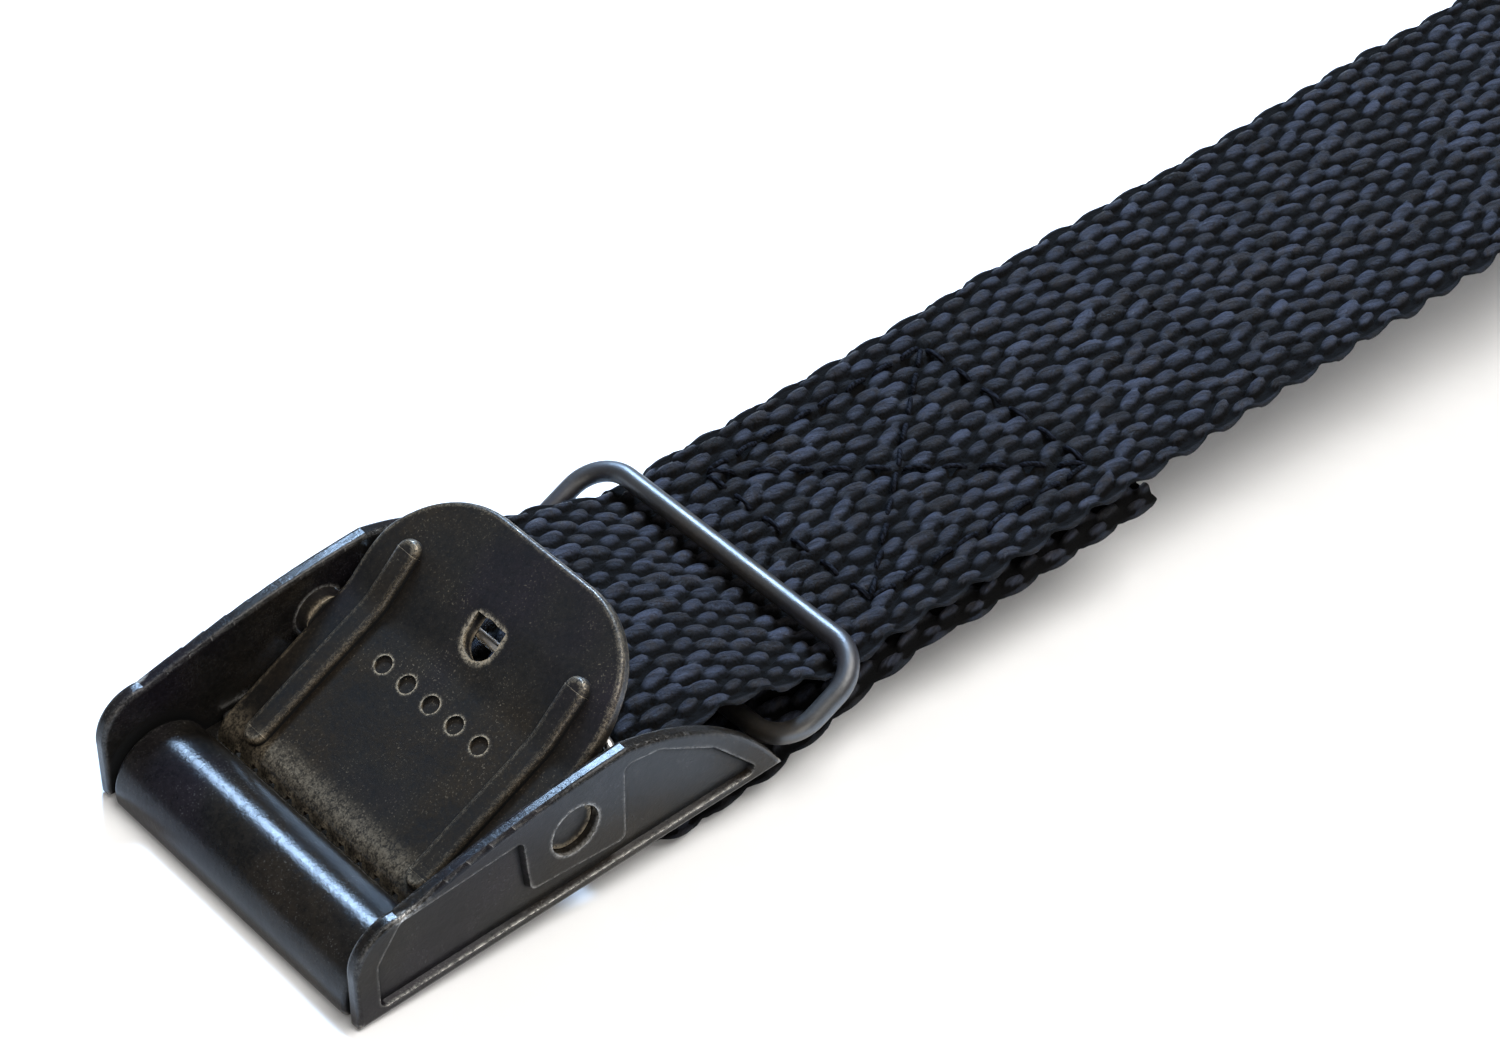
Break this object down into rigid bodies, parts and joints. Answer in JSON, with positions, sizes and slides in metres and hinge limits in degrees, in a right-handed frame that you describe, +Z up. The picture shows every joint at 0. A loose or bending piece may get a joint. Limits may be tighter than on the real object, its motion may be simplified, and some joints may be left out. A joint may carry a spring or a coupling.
{
  "type": "cam buckle strap",
  "caption": "Stamped steel cam buckle with a spring-returned toothed lever, a wire keeper ring and coarse 25 mm webbing sewn round its rear bar, the rest of the strap folded in a tied hank.",
  "frame": {"origin": "on the floor under the middle of the whole part, folded strap included", "axes": "+X from the buckle's nose towards the folded strap, +Y across the webbing, +Z up"},
  "size_m": [0.25, 0.0304, 0.0175],
  "materials": {
    "blackened_steel": "blackened steel, edges worn lighter",
    "bronzed_steel": "satin brown-black, finely mottled",
    "spring_wire": "bright drawn wire",
    "webbing": "coarse black woven webbing",
    "tie_band": "black hook-and-loop band",
    "thread": "black sewing thread"
  },
  "bodies": {
    "buckle": {"buckle_body": "blackened_steel", "return_spring": "spring_wire", "webbing_eye": "webbing", "webbing_run": "webbing", "webbing_hank": "webbing", "hank_tie": "tie_band", "box_stitch": "thread"},
    "lever": {"cam_lever": "bronzed_steel"},
    "keeper": {"keeper_ring": "blackened_steel"}
  },
  "joints": [
    {"name": "lever_open", "type": "hinge", "parent": "buckle", "child": "lever", "pos_m": [-0.10677, 0, 0.00785], "axis": [0, 1, 0], "range_deg": [0, 26], "stiffness_Nm_per_rad": 0.02, "springref_deg": -28.65, "deforming": ["return_spring"]},
    {"name": "keeper_swing", "type": "hinge", "parent": "buckle", "child": "keeper", "pos_m": [-0.08745, 0, 0.00433], "axis": [0, -1, 0], "range_deg": [0, 75]}
  ]
}
